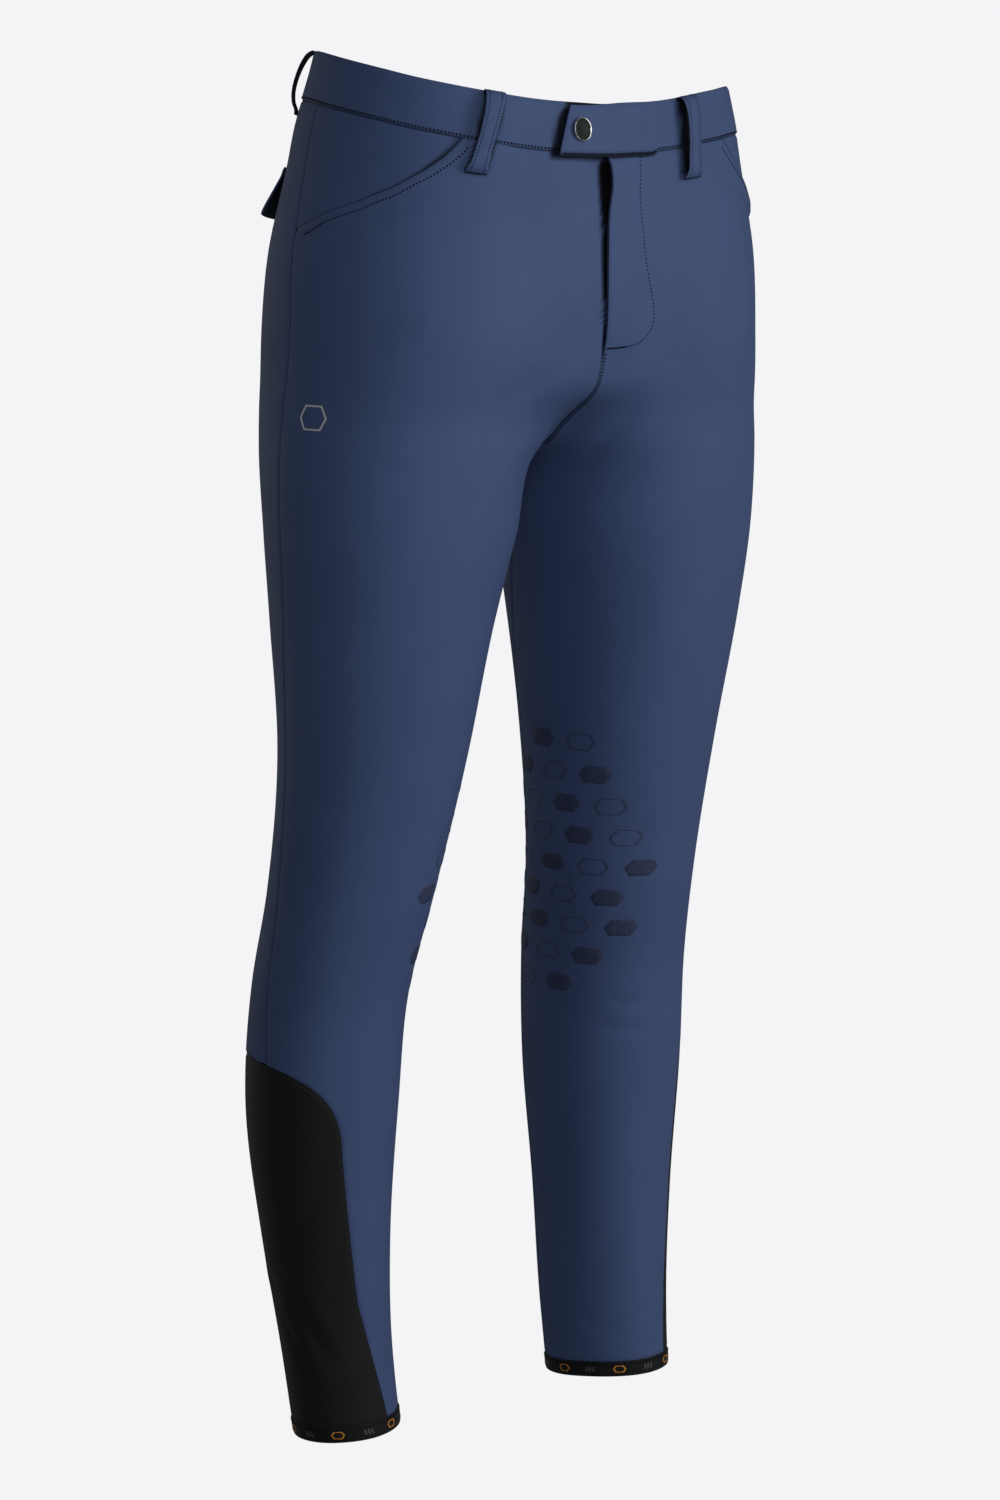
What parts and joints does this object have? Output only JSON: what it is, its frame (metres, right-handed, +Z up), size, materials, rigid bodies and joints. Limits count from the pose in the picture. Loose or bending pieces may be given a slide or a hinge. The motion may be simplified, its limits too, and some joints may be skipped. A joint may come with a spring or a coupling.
{
  "type": "riding breeches",
  "caption": "Close-fitting stretch riding breeches, filled out as when worn, with snap tab, fly, belt loops, slanted front pockets, flapped back pockets, elastic calf panels and hem bands",
  "frame": {"origin": "the middle of the waist at the level of the waist edge, where the breeches are held up", "axes": "+Z up along the body, -Y to the front of the wearer, +X to the wearer's left"},
  "size_m": [0.351, 0.239, 0.9514],
  "materials": {
    "stretch_cloth": "smooth dark blue two-way stretch weave with a matt satin face",
    "elastic_cloth": "matt black elastic knit",
    "hem_elastic": "black ribbed elastic webbing",
    "bright_metal": "polished nickel-plated ring",
    "dark_enamel": "dark green-black enamel"
  },
  "bodies": {
    "root": {"front_leg_right": "stretch_cloth", "back_leg_right": "stretch_cloth", "pocket_facing_right": "stretch_cloth", "waistband_right": "stretch_cloth", "back_flap_right": "stretch_cloth", "calf_panel_right": "elastic_cloth", "hem_band_right": "hem_elastic", "belt_loop_front_right": "stretch_cloth", "belt_loop_rear_right": "stretch_cloth", "front_leg_left": "stretch_cloth", "back_leg_left": "stretch_cloth", "pocket_facing_left": "stretch_cloth", "waistband_left": "stretch_cloth", "back_flap_left": "stretch_cloth", "calf_panel_left": "elastic_cloth", "hem_band_left": "hem_elastic", "belt_loop_front_left": "stretch_cloth", "belt_loop_rear_left": "stretch_cloth", "snap_ring": "bright_metal", "snap_cap": "dark_enamel"}
  },
  "joints": []
}
